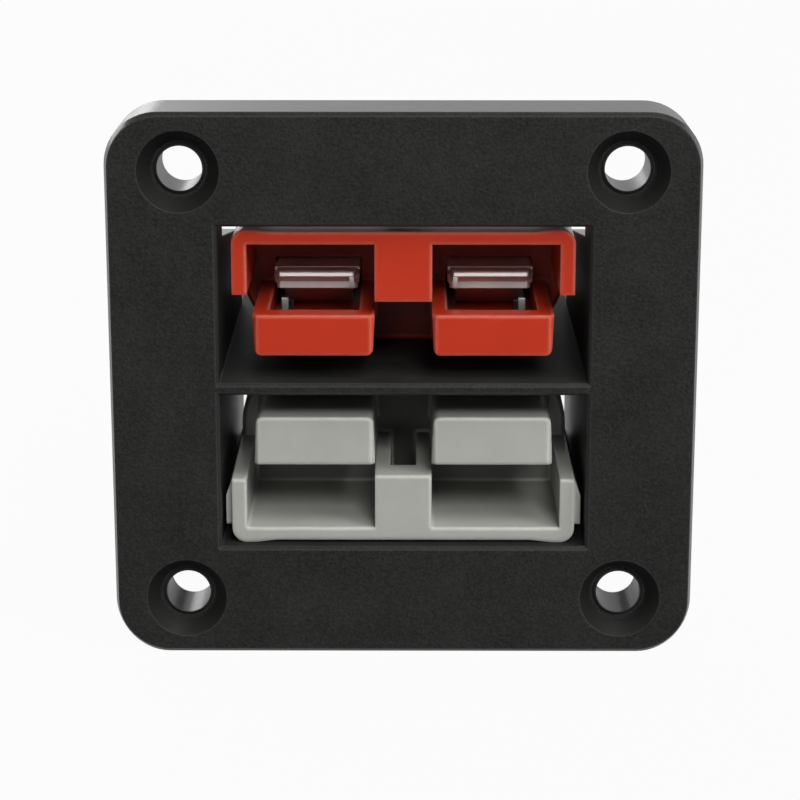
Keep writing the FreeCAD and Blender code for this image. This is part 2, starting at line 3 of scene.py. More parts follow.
import bmesh
import bpy
import numpy as np
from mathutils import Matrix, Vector


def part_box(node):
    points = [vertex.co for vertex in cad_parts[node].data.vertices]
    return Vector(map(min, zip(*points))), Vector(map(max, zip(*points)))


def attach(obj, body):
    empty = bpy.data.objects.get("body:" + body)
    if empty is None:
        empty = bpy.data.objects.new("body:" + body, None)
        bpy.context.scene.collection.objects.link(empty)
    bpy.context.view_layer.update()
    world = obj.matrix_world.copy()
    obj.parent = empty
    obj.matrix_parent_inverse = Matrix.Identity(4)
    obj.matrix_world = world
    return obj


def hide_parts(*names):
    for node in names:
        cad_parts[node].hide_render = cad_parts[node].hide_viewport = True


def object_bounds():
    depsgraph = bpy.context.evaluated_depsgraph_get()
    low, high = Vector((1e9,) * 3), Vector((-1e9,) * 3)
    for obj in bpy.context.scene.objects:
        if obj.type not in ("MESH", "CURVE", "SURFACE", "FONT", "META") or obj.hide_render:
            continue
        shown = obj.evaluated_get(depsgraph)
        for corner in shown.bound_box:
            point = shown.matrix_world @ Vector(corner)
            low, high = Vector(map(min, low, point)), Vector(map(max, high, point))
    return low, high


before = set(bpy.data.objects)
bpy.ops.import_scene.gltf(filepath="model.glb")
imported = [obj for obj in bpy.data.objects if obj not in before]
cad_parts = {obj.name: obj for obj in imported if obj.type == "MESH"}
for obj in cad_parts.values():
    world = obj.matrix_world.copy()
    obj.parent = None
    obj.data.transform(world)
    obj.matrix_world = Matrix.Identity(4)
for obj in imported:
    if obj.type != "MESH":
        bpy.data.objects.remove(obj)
cad_low, cad_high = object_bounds()

MM = 0.001

# Camera, placed in the row frame: how far in front of the bezel's back face, how high, and where it points
CAMERA_DISTANCE = 240 * MM
CAMERA_HEIGHT = 65.1 * MM
CAMERA_SIDE = 0.6 * MM
CAMERA_PITCH = 13.98
CAMERA_YAW = -0.23
CAMERA_LENS = 106.46
CAMERA_SHIFT_Y = -0.10

# Bolts: shank, pan head, rolled thread and cross recess
SHANK_RADIUS = 1.5 * MM
TIP_CHAMFER = 0.4 * MM
HEAD_HEIGHT = 2.1 * MM
HEAD_CROWN = 0.75 * MM
HEAD_ROLL = 0.15 * MM
THREAD_PITCH = 0.5 * MM
THREAD_DEPTH = 0.27 * MM
THREAD_LENGTH = 7.0 * MM
ROWS_PER_TURN = 10
RECESS_DEPTH = 1.2 * MM
RECESS_LENGTH = 3.4 * MM
RECESS_WIDTH = 0.72 * MM
RECESS_WALL_LEAN = 0.12 * MM
RECESS_END_LEAN = 0.25 * MM

# Washers and nuts
WASHER_BORE = 1.6 * MM
WASHER_ROLL = 0.14 * MM
WASHER_BURR = 0.03 * MM
SPRING_CORNER = 0.12 * MM
SPRING_HALF_SLIT = 0.25 * MM
NUT_HALF_FLAT = 2.75 * MM
NUT_BORE = 1.35 * MM
NUT_LEAD = 0.3 * MM
NUT_LEVELS = [0, 0.06, 0.12, 0.18, 0.25, 0.4, 0.6, 0.75, 0.82, 0.88, 0.94, 1]

# Bezel: corners, front bevel, screw holes with their countersunk cones, and the mouth
CORNER_RADIUS = 5.6 * MM
EDGE_SINK = 0.9 * MM
SCREW_OFFSET = 22.5 * MM
HOLE_RADIUS = 2.3 * MM
CONE_RADIUS = 4.25 * MM
SOLID_CONE_FOOT = -4.7 * MM
CONE_FOOT = -6.0 * MM
FACE = -7.97 * MM
MOUTH_HALF_WIDTH = 18.95 * MM
MOUTH_HALF_HEIGHT = 17.05 * MM
MOUTH_START = -7.75 * MM

# Housings: outer hood faces, and places inside the hood
UPPER_HOOD = 16.375 * MM
LOWER_HOOD = -16.85 * MM
HOOD_SIDE = 17.75 * MM
HOOD_INNER_SIDE = 15.95 * MM
HOOD_INNER_HEIGHT = 15.4 * MM
HOOD_NARROWING = 0.33 * MM
BODY_FRONT = 9.5 * MM
RIB_HALF = 2.95 * MM
RIB_DEPTH = 7.2 * MM
RIB_DROP = 0.3 * MM
SLOT_HALF = 1.37 * MM
SLOT_TOP = -9.75 * MM
SLOT_FRONT = -4.0 * MM
TONGUE_RIM = 8.95 * MM
TONGUE_RIM_SHIFT = 0.5 * MM
TONGUE_BACK_SHIFT = 0.3 * MM

# Contacts: the rolled lip, the nose's outline under it and the tab, as (way behind the front, depth under the top)
NOSE_LENGTH = 2.2 * MM
LIP_SETBACK = 0.07 * MM
LIP_LENGTH = 0.45 * MM
LIP_DEPTH = 0.28 * MM
NOSE_TAPER = 0.5 * MM
NOSE_UNDER = np.array([[0, 0.55], [0.3, 0.75], [1.2, 1.15], [2.2, 1.5], [2.6, 1.75], [4.6, 1.85], [4.6, 0.24]]) * MM
TAB = np.array([[0.15, 0.5], [0.1, 1.6], [0.25, 1.9], [0.5, 1.9], [0.65, 1.6], [0.8, 0.5]]) * MM
TAB_HALF = 0.25 * MM
TAB_INSET = 0.78 * MM

# Lamps: place, side and power
LAMPS = {
    "key box": ((0.153, -0.721, 0.516), 0.25, 4.2),
    "front box": ((-0.12, -0.86, 0.27), 0.2, 0.35),
    "high box": ((0.18, -0.22, 0.53), 0.3, 2.0),
    "side box": ((0.5, -0.34, 0.38), 0.3, 1.8),
    "rear box": ((-0.5, 0.9, 0.45), 0.8, 6.0),
}
FLOOR_HALF = 3.0


class Varying:
    """A number that varies over a surface. Arithmetic on it adds Math nodes to its tree."""

    def __init__(self, nodes, socket):
        self.nodes = nodes
        self.socket = socket

    def other(self, output):
        """Another output of the same node."""
        return Varying(self.nodes, self.socket.node.outputs[output])

    def math(self, operation, *inputs):
        """One Math node with its inputs in order."""
        return self.nodes.node("ShaderNodeMath", {"operation": operation}, dict(enumerate(inputs)))

    def __add__(self, other):
        return self.math("ADD", self, other)

    def __radd__(self, other):
        return self.math("ADD", other, self)

    def __sub__(self, other):
        return self.math("SUBTRACT", self, other)

    def __rsub__(self, other):
        return self.math("SUBTRACT", other, self)

    def __mul__(self, other):
        return self.math("MULTIPLY", self, other)

    def __rmul__(self, other):
        return self.math("MULTIPLY", other, self)

    def __pow__(self, power):
        return self.math("POWER", self, power)

    def __lt__(self, other):
        return self.math("LESS_THAN", self, other)

    def __gt__(self, other):
        return self.math("GREATER_THAN", self, other)

    def __abs__(self):
        return self.math("ABSOLUTE", self)

    def or_more(self, other):
        """The larger of the two."""
        return self.math("MAXIMUM", self, other)

    def between(self, low, high):
        """0 below low, 1 above high and an even rise between them."""
        inputs = {"Value": self, "From Min": low, "From Max": high}
        return self.nodes.node("ShaderNodeMapRange", {"clamp": True}, inputs)


class Nodes:
    """A node tree, and the one method that adds nodes to it."""

    def __init__(self, tree):
        self.tree = tree

    def node(self, kind, settings, inputs, output=0):
        """Adds one node: its settings first, then a value or a link for each input."""
        made = self.tree.nodes.new(kind)
        for name, value in settings.items():
            setattr(made, name, value)
        for name, value in inputs.items():
            self.connect(made.inputs[name], value)
        return Varying(self, made.outputs[output])

    def connect(self, socket, value):
        """Links a pattern to a socket, or sets the socket to a plain value."""
        if isinstance(value, Varying):
            self.tree.links.new(value.socket, socket)
        else:
            socket.default_value = value

    def seen_plainly(self):
        """1 for rays from the camera, from a gloss or through glass, and 0 for the light's own rays."""
        path = self.node("ShaderNodeLightPath", {}, {}, "Is Camera Ray")
        return path.or_more(path.other("Is Transmission Ray")).or_more(path.other("Is Glossy Ray"))

    def mix_shaders(self, factor, first, second, output_node):
        """Mixes two shaders by a factor and gives the mix to the tree's output."""
        mixed = self.node("ShaderNodeMixShader", {}, {0: factor, 1: first, 2: second})
        self.connect(self.tree.nodes[output_node].inputs["Surface"], mixed)


class Finish(Nodes):
    """A surface finish: one material whose shader gets its constants here and its patterns by feed()."""

    def __init__(self, name, **constants):
        self.material = bpy.data.materials.new(name)
        self.material.use_nodes = True
        super().__init__(self.material.node_tree)
        self.shader = self.tree.nodes["Principled BSDF"]
        for socket_name, value in constants.items():
            self.shader.inputs[socket_name.replace("_", " ")].default_value = value
        self.place = self.node("ShaderNodeTexCoord", {}, {}, "Object")

    def feed(self, socket_name, value):
        """Gives one of the shader's sockets its pattern."""
        self.connect(self.shader.inputs[socket_name], value)

    def along(self):
        """The X, Y and Z of the point that is shaded, in metres."""
        x = self.node("ShaderNodeSeparateXYZ", {}, {0: self.place})
        return x, x.other(1), x.other(2)

    def noise(self, size, detail, roughness, stretch=(1, 1, 1)):
        """Cloudy noise whose blobs are about `size` metres across, longer where stretch is above 1."""
        scale = tuple(1 / (size * part) for part in stretch)
        place = self.node("ShaderNodeMapping", {}, {"Vector": self.place, "Scale": scale})
        inputs = {"Vector": place, "Scale": 1.0, "Detail": detail, "Roughness": roughness}
        return self.node("ShaderNodeTexNoise", {}, inputs)

    def cells(self, size):
        """Distance to the nearest of many scattered points, about `size` metres apart."""
        return self.node("ShaderNodeTexVoronoi", {}, {"Vector": self.place, "Scale": 1 / size})

    def blend(self, mask, low, high):
        """The colour low where the mask is 0 and high where it is 1. Each is three numbers or a pattern.

        Inputs 6 and 7 and output 2 are the Mix node's colour sockets.
        """
        low, high = [colour if isinstance(colour, Varying) else (*colour, 1) for colour in (low, high)]
        return self.node("ShaderNodeMix", {"data_type": "RGBA"}, {0: mask, 6: low, 7: high}, 2)

    def soft_edges(self, radius):
        """The normal with every edge rounded to a radius, and a mask that is 1 on the rounded strip.

        The mask is 1 less the dot product of the rounded and the plain normal, spread over 0 to 1.
        """
        rounded = self.node("ShaderNodeBevel", {"samples": 4}, {"Radius": radius})
        plain = self.node("ShaderNodeNewGeometry", {}, {}, "Normal")
        settings = {"operation": "DOT_PRODUCT"}
        agreement = self.node("ShaderNodeVectorMath", settings, {0: rounded, 1: plain}, "Value")
        return rounded, (1 - agreement).between(0.003, 0.06)

    def glancing(self, normal, low, high):
        """0 where the surface faces the viewer and 1 where it turns away, for the gloss at flat angles."""
        facing = self.node("ShaderNodeLayerWeight", {}, {"Blend": 0.5, "Normal": normal}, "Facing")
        return facing.between(low, high)

    def bump(self, height, depth, normal):
        """Turns a height pattern into the shader's normal, `depth` metres deep."""
        inputs = {"Height": height, "Strength": 1.0, "Distance": depth, "Normal": normal}
        self.feed("Normal", self.node("ShaderNodeBump", {}, inputs))


def black_moulding():
    """Black plastic: a spark-eroded grain on the bezel, smooth in its mouth and behind it, satin cones, and a
    painted highlight on its rounded edges.
    """
    pit, peak = (0.0100, 0.0102, 0.0095), (0.0290, 0.0293, 0.0281)
    in_cone, edge_highlight_colour = (0.012, 0.012, 0.0115), (0.05, 0.05, 0.048)
    finish = Finish("black grained moulding", IOR=1.12, Coat_Roughness=0.3)
    x, y, z = finish.along()
    inside = (abs(x) < MOUTH_HALF_WIDTH) * (abs(z) < MOUTH_HALF_HEIGHT) * (y > MOUTH_START)
    low_wall = inside * (abs(x) > 18.0 * MM) * (z < -0.7 * MM)
    smooth = inside.or_more(y > 0.2 * MM)
    from_screw = (abs(x) - SCREW_OFFSET) ** 2 + (abs(z) - SCREW_OFFSET) ** 2
    cone = (from_screw < CONE_RADIUS**2) * (y > FACE) * (y < CONE_FOOT)
    rounded, edge = finish.soft_edges(0.3 * MM)
    pits = finish.cells(0.3 * MM)
    grain = finish.noise(0.3 * MM, 3.0, 0.7)
    speck = grain.between(0.36, 0.7) * (1 - smooth)
    cloud = finish.noise(7 * MM, 3.0, 0.6).between(0.3, 0.7)
    plain = finish.blend(0.3 * cloud + 0.7 * speck + 0.15 * smooth, pit, peak)
    sunk = finish.blend(cone, plain, in_cone)
    # Painted highlight: rounded edges away from the cones get a paler colour, as where the chamfers catch the light.
    finish.feed("Base Color", finish.blend(edge * 0.75 * (1 - cone), sunk, edge_highlight_colour))
    finish.feed("Roughness", 0.48 + 0.1 * speck + 0.12 * inside + 0.04 * cloud - 0.08 * edge)
    gloss = (0.05 + finish.glancing(rounded, 0.2, 0.65) * 0.5) * (1 - 0.93 * inside + 0.8 * low_wall)
    finish.feed("Coat Weight", gloss.or_more(cone * 0.75))
    height = (pits * 0.7 + grain) * (1 - smooth * 0.9)
    finish.bump(height * (1 - cone * 0.7), 0.06 * MM, rounded)
    return finish.material


def satin_housing(name, dark, plain, pale):
    """Satin polycarbonate: even colour, faint cloudiness, paler rounded edges painted as a highlight, and a very
    fine skin.

    Painted shade darkens the colour between the tongues, on the wall behind them and in the rib's slot, where shadow
    falls.
    """
    finish = Finish(name, Specular_IOR_Level=0.2, Coat_Roughness=0.25)
    rounded, edge = finish.soft_edges(0.6 * MM)
    cloud = finish.noise(5 * MM, 3.0, 0.6)
    skin = finish.noise(0.14 * MM, 2.0, 0.5)
    x, y, z = finish.along()
    near_wall, wall_back = BODY_FRONT - 0.1 * MM, BODY_FRONT + 0.1 * MM
    between_tongues = y.between(3 * MM, near_wall) * (abs(x) < RIB_HALF)
    slot = (abs(x) < SLOT_HALF) * (z < SLOT_TOP) * (y > SLOT_FRONT)
    in_hood = (y < wall_back) * (abs(x) < HOOD_INNER_SIDE) * (abs(z) < HOOD_INNER_HEIGHT)
    # Painted shade: deep marks where shadow falls between the tongues, on the body's wall behind them and in the
    # slot.
    deep = between_tongues.or_more((y > near_wall) * 0.6).or_more(slot) * in_hood
    even = finish.blend(cloud.between(0.25, 0.75), dark, plain)
    shaded = finish.blend(deep * 0.85, even, [part * 0.1 for part in dark])
    # Painted highlight: the rounded edges are blended towards the pale colour, as if they caught the light.
    painted_edge_highlight = edge * (0.65 + 0.35 * finish.noise(0.8 * MM, 3.0, 0.6).between(0.3, 0.7))
    finish.feed("Base Color", finish.blend(painted_edge_highlight, shaded, pale))
    finish.feed("Roughness", 0.36 + 0.12 * cloud - 0.06 * edge)
    finish.feed("Coat Weight", finish.glancing(rounded, 0.35, 0.9) * 0.6)
    finish.bump(skin, 0.006 * MM, rounded)
    return finish.material


def drawn_metal(name, dark, light, roughness, grain_depth, stretch, metallic):
    """Metal with fine drawing lines along its length and slightly duller patches."""
    finish = Finish(name, Metallic=metallic)
    rounded, edge = finish.soft_edges(0.12 * MM)
    lines = finish.noise(0.09 * MM, 3.0, 0.6, stretch)
    patch = finish.noise(2.4 * MM, 3.0, 0.6)
    finish.feed("Base Color", finish.blend(patch.between(0.25, 0.8) * 0.7 + lines * 0.3, dark, light))
    finish.feed("Roughness", roughness + 0.1 * patch + 0.06 * lines - 0.03 * edge)
    finish.bump(lines, grain_depth, rounded)
    return finish.material


def zinc_plate():
    """Bright zinc plate: pale metal with a faint crystalline mottle."""
    finish = Finish("bright zinc plate", Metallic=1.0)
    rounded, edge = finish.soft_edges(0.1 * MM)
    mottle = finish.cells(0.5 * MM)
    haze = finish.noise(1.6 * MM, 4.0, 0.6)
    finish.feed("Base Color", finish.blend(haze.between(0.3, 0.7), (0.50, 0.51, 0.52), (0.74, 0.74, 0.71)))
    finish.feed("Roughness", 0.24 + 0.14 * haze + 0.08 * mottle - 0.04 * edge)
    finish.bump(mottle, 0.006 * MM, rounded)
    return finish.material


BLACK = black_moulding()
# pale is the colour of each housing's painted edge highlight.
RED = satin_housing(
    "red satin housing", dark=(0.42, 0.024, 0.006), plain=(0.46, 0.030, 0.009), pale=(0.62, 0.16, 0.11)
)
GREY = satin_housing(
    "grey satin housing", dark=(0.345, 0.35, 0.32), plain=(0.385, 0.39, 0.358), pale=(0.62, 0.62, 0.57)
)
SILVER = drawn_metal(
    "silver plate", dark=(0.78, 0.76, 0.73), light=(0.95, 0.94, 0.92),
    roughness=0.38, grain_depth=0.006 * MM, stretch=(1, 12, 1), metallic=0.55,
)
SPRING = drawn_metal(
    "rolled spring strip", dark=(0.36, 0.36, 0.37), light=(0.56, 0.56, 0.56),
    roughness=0.3, grain_depth=0.004 * MM, stretch=(1, 20, 1), metallic=1.0,
)
ZINC = zinc_plate()


def grid_mesh(name, points):
    """A mesh from an array of points (rows, columns, 3): quads between neighbours, columns joined round."""
    rows, columns = points.shape[:2]
    index = np.arange(rows * columns).reshape(rows, columns)
    following = np.roll(index, -1, axis=1)
    quads = np.stack([index[:-1], following[:-1], following[1:], index[1:]], axis=-1).reshape(-1, 4)
    mesh = bpy.data.meshes.new(name)
    mesh.from_pydata(points.reshape(-1, 3), [], quads)
    mesh.validate()
    piece = bpy.data.objects.new(name, mesh)
    bpy.context.scene.collection.objects.link(piece)
    return piece


def turned(name, radii, heights, centre, columns, shape=None):
    """A turned piece about an upright axis: each row is a ring of its radius at its height.

    The ring's radius may be changed by `shape`, a function of the angles, the radii and the heights,
    which returns new radii and heights. The first and last rows close the piece at the axis or meet.
    """
    angles = np.linspace(0, 2 * np.pi, columns, endpoint=False)[None, :]
    radius = np.broadcast_to(np.asarray(radii, float)[:, None], (len(radii), columns))
    height = np.broadcast_to(np.asarray(heights, float)[:, None], (len(heights), columns))
    if shape is not None:
        radius, height = shape(angles, radius, height)
    x = centre[0] + radius * np.cos(angles)
    y = centre[1] + radius * np.sin(angles)
    return grid_mesh(name, np.stack([x, y, height], axis=-1))


def weld(piece, angle):
    """Merges the seams and poles, turns all faces outwards and shades smooth up to a crease angle."""
    work = bmesh.new()
    work.from_mesh(piece.data)
    bmesh.ops.remove_doubles(work, verts=work.verts, dist=1e-7)
    bmesh.ops.dissolve_degenerate(work, edges=work.edges, dist=1e-8)
    bmesh.ops.recalc_face_normals(work, faces=work.faces)
    limit = math.radians(angle)
    for face in work.faces:
        face.smooth = True
    for edge in work.edges:
        edge.smooth = edge.calc_face_angle(0.0) < limit
    work.to_mesh(piece.data)
    work.free()
    return piece


def finish_piece(piece, node, material):
    """Gives a new piece its finish and its body, and hides the solid that it stands for."""
    piece.data.materials.clear()
    piece.data.materials.append(material)
    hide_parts(node)
    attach(piece, "root")


def arc(centre, radius, start, end, count):
    """Points on a circular arc in the (radius, height) plane, from one angle to another in degrees."""
    turn = np.radians(np.linspace(start, end, count))
    return centre[0] + radius * np.cos(turn), centre[1] + radius * np.sin(turn)


def box_of(node):
    """A solid's middle and its two corners."""
    low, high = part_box(node)
    return (low + high) / 2, low, high


def bolt(node):
    """A pan-head bolt with a cross recess and a rolled thread at its tip.

    Thread: the radius falls by a triangle wave of height plus angle, one wave per pitch, fading in
    over the last two turns. Recess: the head's top sinks where the point is within half the slot's
    width of either arm and inside its length, with walls that lean outwards.
    """
    centre, low, high = box_of(node)
    head_radius = (high.x - low.x) / 2
    flat_radius = head_radius - HEAD_CROWN
    tip, top = low.z, high.z
    seat = top - HEAD_HEIGHT
    thread_top = tip + THREAD_LENGTH
    thread_z = np.linspace(tip + 0.02 * MM, thread_top, int(THREAD_LENGTH / THREAD_PITCH) * ROWS_PER_TURN)
    crown_r, crown_z = arc((flat_radius, top - HEAD_CROWN), HEAD_CROWN, 0, 90, 12)
    flat_r = np.linspace(1, 0, 26)[1:] * flat_radius
    rows_r = np.concatenate([
        [0.0, SHANK_RADIUS - TIP_CHAMFER], np.full(len(thread_z), SHANK_RADIUS),
        [SHANK_RADIUS, SHANK_RADIUS, head_radius - HEAD_ROLL, head_radius], crown_r, flat_r,
    ])
    rows_z = np.concatenate([
        [tip, tip], thread_z,
        [thread_top + 0.3 * MM, seat, seat, seat + HEAD_ROLL], crown_z, np.full(len(flat_r), top),
    ])

    def shape(angles, radius, height):
        wave = np.abs(((height - tip) / THREAD_PITCH - angles / (2 * np.pi)) % 1.0 - 0.5) * 2
        fade = np.clip((thread_top - height) / (2 * THREAD_PITCH), 0, 1) * (height > tip)
        on_shank = (radius > SHANK_RADIUS * 0.99) & (radius < SHANK_RADIUS * 1.01)
        cut = np.where(on_shank, THREAD_DEPTH * wave * fade, 0)
        chamfer = np.clip(height - tip, 0, TIP_CHAMFER) - TIP_CHAMFER
        lead = np.where(on_shank & (height < tip + TIP_CHAMFER), chamfer, 0)
        across, along = np.abs(radius * np.cos(angles)), np.abs(radius * np.sin(angles))
        arm, reach = np.minimum(across, along), np.maximum(across, along)
        wall = np.clip((RECESS_WIDTH / 2 - arm) / RECESS_WALL_LEAN, 0, 1)
        end = np.clip((RECESS_LENGTH / 2 - reach) / RECESS_END_LEAN, 0, 1)
        sink = RECESS_DEPTH * wall * end * np.clip(1.15 - 0.5 * reach / (RECESS_LENGTH / 2), 0, 1)
        on_top = height > top - 1e-9
        return np.minimum(radius - cut, radius + lead), height - np.where(on_top, sink, 0)

    piece = turned("threaded_" + node, rows_r, rows_z, centre, 96, shape)
    finish_piece(weld(piece, 38), node, ZINC)


def washer(node):
    """A punched washer: the edge is rounded where the punch entered and sharp where it left."""
    centre, low, high = box_of(node)
    outer = (high.x - low.x) / 2
    outer_r, outer_z = arc((outer - WASHER_ROLL, high.z - WASHER_ROLL), WASHER_ROLL, 0, 90, 5)
    inner_r, inner_z = arc((WASHER_BORE + WASHER_ROLL, high.z - WASHER_ROLL), WASHER_ROLL, 90, 180, 5)
    rows_r = [WASHER_BORE, outer - WASHER_BURR, outer, *outer_r, *inner_r, WASHER_BORE]
    rows_z = [low.z, low.z, low.z + WASHER_BURR, *outer_z, *inner_z, low.z]
    piece = turned("punched_" + node, rows_r, rows_z, centre, 72)
    finish_piece(weld(piece, 40), node, ZINC)


def spring_washer(node):
    """A split lock washer: a rectangular section with rounded corners, carried round from cheek to cheek."""
    centre, low, high = box_of(node)
    outer = (high.x - low.x) / 2
    middle_r, middle_z = (outer + WASHER_BORE) / 2, (high.z + low.z) / 2
    half_r = (outer - WASHER_BORE) / 2 - SPRING_CORNER
    half_z = (high.z - low.z) / 2 - SPRING_CORNER
    corners = [
        arc((middle_r + side_r * half_r, middle_z + side_z * half_z), SPRING_CORNER, turn, turn + 90, 4)
        for turn, side_r, side_z in ((0, 1, 1), (90, -1, 1), (180, -1, -1), (270, 1, -1))
    ]
    section_r, section_z = np.concatenate(corners, axis=1)[:, None, :]
    half_slit = SPRING_HALF_SLIT / middle_r
    lean = (section_z - middle_z) / middle_r
    sweep = np.linspace(half_slit, 2 * np.pi - half_slit, 72)[:, None] + lean
    x = centre[0] + section_r * np.cos(sweep)
    y = centre[1] + section_r * np.sin(sweep)
    ring = np.stack([x, y, np.broadcast_to(section_z, sweep.shape)], axis=-1)
    caps = [np.repeat(cheek.mean(axis=1, keepdims=True), ring.shape[1], axis=1) for cheek in (ring[:1], ring[-1:])]
    piece = grid_mesh("split_" + node, np.concatenate([caps[0], ring, caps[1]]))
    finish_piece(weld(piece, 38), node, ZINC)


def nut(node):
    """A hexagon nut: the ring's radius is the smaller of the hexagon's and of a cone that turns its corners off."""
    centre, low, high = box_of(node)
    corner = NUT_HALF_FLAT / math.cos(math.pi / 6)
    rows_r = [NUT_BORE, NUT_BORE + NUT_LEAD] + [corner] * len(NUT_LEVELS) + [NUT_BORE + NUT_LEAD, NUT_BORE, NUT_BORE]
    rows_z = [low.z + NUT_LEAD, low.z] + [low.z + (high.z - low.z) * level for level in NUT_LEVELS]
    rows_z += [high.z, high.z - NUT_LEAD, low.z + NUT_LEAD]

    def shape(angles, radius, height):
        hexagon = NUT_HALF_FLAT / np.cos((angles % (np.pi / 3)) - np.pi / 6)
        from_end = np.minimum(height - low.z, high.z - height)
        cone = NUT_HALF_FLAT * 0.99 + from_end / math.tan(math.radians(30))
        outside = radius > corner * 0.99
        return np.where(outside, np.minimum(hexagon, cone), radius), height

    piece = turned("hexagon_" + node, rows_r, rows_z, centre, 72, shape)
    finish_piece(weld(piece, 25), node, ZINC)


def copy_of(node, name):
    """A copy of a solid with its doubled vertices merged, and its vertices as an array to reshape."""
    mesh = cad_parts[node].data.copy()
    mesh.name = name
    piece = bpy.data.objects.new(name, mesh)
    bpy.context.scene.collection.objects.link(piece)
    work = bmesh.new()
    work.from_mesh(mesh)
    bmesh.ops.remove_doubles(work, verts=work.verts, dist=1e-6)
    work.to_mesh(mesh)
    work.free()
    points = np.empty(len(mesh.vertices) * 3)
    mesh.vertices.foreach_get("co", points)
    return piece, points.reshape(-1, 3)


def put_back(piece, points, angle):
    """Writes reshaped vertices into a copy and creases it again."""
    piece.data.vertices.foreach_set("co", points.ravel())
    piece.data.update()
    return weld(piece, angle)


def bezel():
    """The bezel with a steeper bevel round its front: the bevel's outer ring sinks towards the back.

    On the long sides the ring sinks by EDGE_SINK and at the top and bottom it stays, with an even
    change round the corners, because the ring's share is the square of its outward direction's X.
    The countersinks' lower rings move forward to CONE_FOOT, which makes the cones shallower.
    """
    piece, points = copy_of("bezel_housing", "bevelled_bezel_housing")
    core = np.array([cad_high.x - CORNER_RADIUS, cad_high.z - CORNER_RADIUS])
    flat = points[:, [0, 2]]
    outward = flat - np.clip(flat, -core, core)
    reach = np.linalg.norm(outward, axis=1)
    on_ring = (np.abs(reach - CORNER_RADIUS) < 0.02 * MM) & (points[:, 1] < -7 * MM)
    across = np.abs(outward[:, 0]) / np.maximum(reach, 1e-9)
    points[:, 1] += np.where(on_ring, EDGE_SINK * across**2, 0)
    from_screw = np.linalg.norm(np.abs(flat) - SCREW_OFFSET, axis=1)
    on_hole = np.abs(from_screw - HOLE_RADIUS) < 0.05 * MM
    cone_foot = on_hole & (np.abs(points[:, 1] - SOLID_CONE_FOOT) < 0.1 * MM)
    points[:, 1] = np.where(cone_foot, CONE_FOOT, points[:, 1])
    finish_piece(put_back(piece, points, 28), "bezel_housing", BLACK)


def upper_housing():
    """The upper housing with flush side ridges, a narrower hood and a longer rib.

    The ridges are pressed to the hood's side, and every point beyond the hood's inner side then
    moves in by HOOD_NARROWING. The rib's lower face moves down by RIB_DROP.
    """
    piece, points = copy_of("red_connector_housing", "flush_red_connector_housing")
    x, y, z = points.T
    across = np.clip(np.abs(x), 0, HOOD_SIDE)
    across = np.where(across > HOOD_INNER_SIDE, across - HOOD_NARROWING, across)
    drop = UPPER_HOOD - z
    under_rib = (across < 3 * MM) & (y < BODY_FRONT + 0.1 * MM) & (np.abs(drop - RIB_DEPTH) < 0.05 * MM)
    points = np.stack([np.sign(x) * across, y, z - np.where(under_rib, RIB_DROP, 0)], axis=1)
    finish_piece(put_back(piece, points, 28), "red_connector_housing", RED)


def lower_housing():
    """The lower housing, with tongues a little thicker at the front: rims nearer the hood, backs further away."""
    piece, points = copy_of("grey_connector_housing", "full_grey_connector_housing")
    x, y, z = points.T
    drop = z - LOWER_HOOD
    on_tongue = (np.abs(x) > 2.8 * MM) & (np.abs(x) < 15.6 * MM) & (y < BODY_FRONT - 0.1 * MM)
    rim = on_tongue & (np.abs(drop - TONGUE_RIM) < 0.05 * MM)
    back = on_tongue & (drop > 12.2 * MM) & (drop < 13.3 * MM)
    points[:, 2] = z - np.where(rim, TONGUE_RIM_SHIFT, 0) + np.where(back, TONGUE_BACK_SHIFT, 0)
    finish_piece(put_back(piece, points, 28), "grey_connector_housing", GREY)


def bar(name, node, outline, place, half, upward):
    """A short bar across a contact, from an outline of (way behind the front, depth under the top).

    The outline is carried from end to end and shrinks towards its own middle over the last few
    hundredths, so that the ends are rounded. `place` holds the bar's middle, front and top, and
    `half` is half its width, as one number or as one for each point of the outline.
    """
    middle, front, top = place
    y, z = front + outline[:, 0], top - outline[:, 1]
    levels = np.array([-1.0, -1.0, -0.96, 0.96, 1.0, 1.0])[:, None]
    shrink = np.array([0.0, 0.9, 1.0, 1.0, 0.9, 0.0])[:, None]
    x = middle + levels * np.broadcast_to(half, y.shape)
    y = y.mean() + (y - y.mean()) * shrink
    z = z.mean() + (z - z.mean()) * shrink
    piece = grid_mesh(name, np.stack([x, y, z * upward], axis=-1))
    finish_piece(weld(piece, 32), node, SILVER)


def contact(node, inward, upward):
    """A contact with a rolled nose and a small tab at the nose's inner end.

    Nose: a quarter of an ellipse from the top almost to the front, a face that leans forward down
    to the front, and an underside that leans back. The solid's square nose is drawn back behind it.
    """
    piece, points = copy_of(node, "drawn_" + node)
    front = points[:, 1].min()
    middle = (points[:, 0].max() + points[:, 0].min()) / 2
    half = points[points[:, 1] < front + 8 * MM, 0].max() - middle
    height = points[:, 2] * upward
    on_nose = points[:, 1] < front + NOSE_LENGTH
    top = height[on_nose].max()
    drawn_back = front + 2.5 * MM + (points[:, 1] - front) * 0.2
    points[:, 1] = np.where(on_nose, drawn_back, points[:, 1])
    points[:, 2] = np.where(on_nose, height - 0.25 * MM, height) * upward
    finish_piece(put_back(piece, points, 32), node, SILVER)

    turn = np.linspace(0, np.pi / 2, 9)
    lip = np.stack([LIP_SETBACK + LIP_LENGTH * (1 - np.sin(turn)), LIP_DEPTH * (1 - np.cos(turn))], axis=1)
    outline = np.concatenate([lip, NOSE_UNDER])
    taper = NOSE_TAPER * np.clip(1 - outline[:, 0] / (2.5 * MM), 0, 1)
    bar("nose_" + node, node, outline, (middle, front, top), half - taper, upward)
    tab_middle = middle + inward * (half - TAB_INSET)
    bar("tab_" + node, node, TAB, (tab_middle, front, top), TAB_HALF, upward)


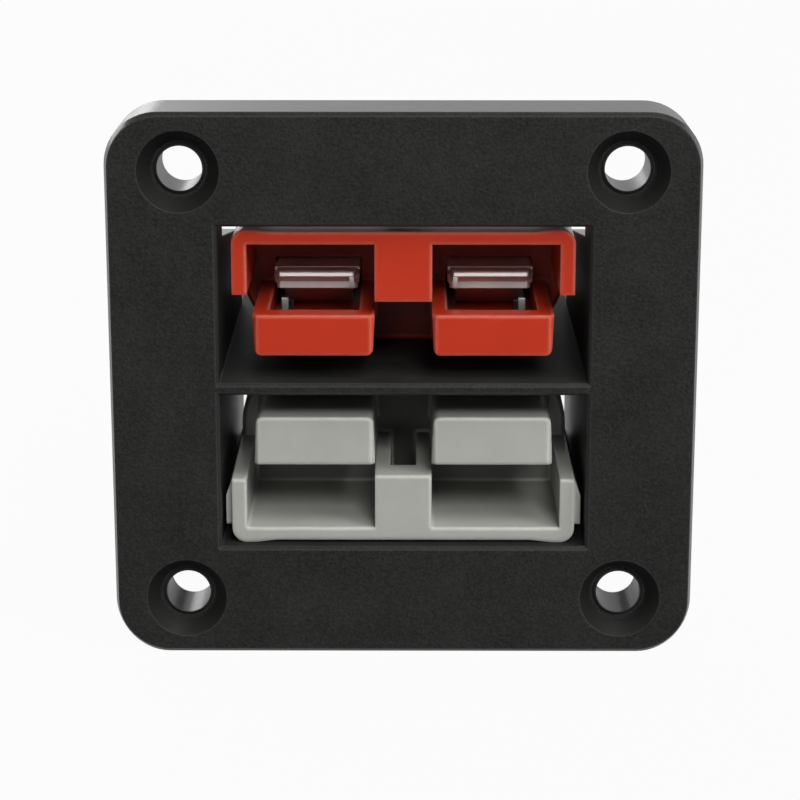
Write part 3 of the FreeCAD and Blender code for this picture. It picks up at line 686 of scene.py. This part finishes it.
bezel()
upper_housing()
lower_housing()
for colour, upward in (("red", 1), ("grey", -1)):
    for side, inward in (("left", 1), ("right", -1)):
        contact(colour + "_contact_" + side, inward, upward)
        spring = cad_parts[colour + "_contact_spring_" + side].data
        spring.materials.clear()
        spring.materials.append(SPRING)

for end in ("front", "rear"):
    bolt("retaining_bolt_" + end)
    washer("head_washer_" + end)
    washer("nut_washer_" + end)
    spring_washer("spring_washer_" + end)
    nut("hexagon_nut_" + end)


def studio_floor():
    """A plain pale floor under the bezel's lower edge: white to the camera, with a soft shadow."""
    level = cad_low.z - 0.02 * MM
    corners = [(-1, -1), (1, -1), (1, 1), (-1, 1)]
    mesh = bpy.data.meshes.new("floor")
    mesh.from_pydata([(x * FLOOR_HALF, y * FLOOR_HALF, level) for x, y in corners], [], [(0, 1, 2, 3)])
    floor = bpy.data.objects.new("floor", mesh)
    bpy.context.scene.collection.objects.link(floor)
    finish = Finish("white floor", Base_Color=(0.22, 0.22, 0.22, 1), Roughness=0.8)
    lit = Varying(finish, finish.shader.outputs[0])
    glow = finish.node("ShaderNodeEmission", {}, {"Color": (1, 1, 1, 1), "Strength": 1.0})
    finish.mix_shaders(finish.seen_plainly() * 0.96, lit, glow, "Material Output")
    mesh.materials.append(finish.material)


def sky():
    """White to the camera and in reflections, and a plain soft fill on everything else."""
    world = bpy.data.worlds.new("studio")
    bpy.context.scene.world = world
    world.use_nodes = True
    nodes = Nodes(world.node_tree)
    white = nodes.node("ShaderNodeBackground", {}, {"Color": (1, 1, 1, 1), "Strength": 1.0})
    fill = nodes.node("ShaderNodeBackground", {}, {"Color": (0.95, 0.97, 1, 1), "Strength": 0.07})
    nodes.mix_shaders(nodes.seen_plainly(), fill, white, "World Output")


def soft_box(name, place, size, power):
    """A square area lamp at a place, turned towards the part."""
    lamp = bpy.data.lights.new(name, "AREA")
    lamp.shape = "RECTANGLE"
    lamp.size = size
    lamp.size_y = size
    lamp.energy = power
    holder = bpy.data.objects.new(name, lamp)
    bpy.context.scene.collection.objects.link(holder)
    holder.rotation_mode = "QUATERNION"
    holder.rotation_quaternion = (-Vector(place)).to_track_quat("-Z", "Y")
    holder.location = place


def camera():
    """The photograph's viewpoint: in front, raised and tipped down, with a small lens shift."""
    lens = bpy.data.cameras.new("camera")
    lens.sensor_width = 36
    lens.lens = CAMERA_LENS
    lens.shift_y = CAMERA_SHIFT_Y
    lens.clip_start = 0.01
    lens.clip_end = 50
    holder = bpy.data.objects.new("camera", lens)
    holder.location = (CAMERA_SIDE, -CAMERA_DISTANCE, CAMERA_HEIGHT)
    holder.rotation_euler = (math.radians(90 - CAMERA_PITCH), 0, math.radians(-CAMERA_YAW))
    bpy.context.scene.collection.objects.link(holder)
    bpy.context.scene.camera = holder


bpy.context.scene.view_settings.view_transform = "Standard"
studio_floor()
sky()
for name, (place, size, power) in LAMPS.items():
    soft_box(name, place, size, power)
camera()
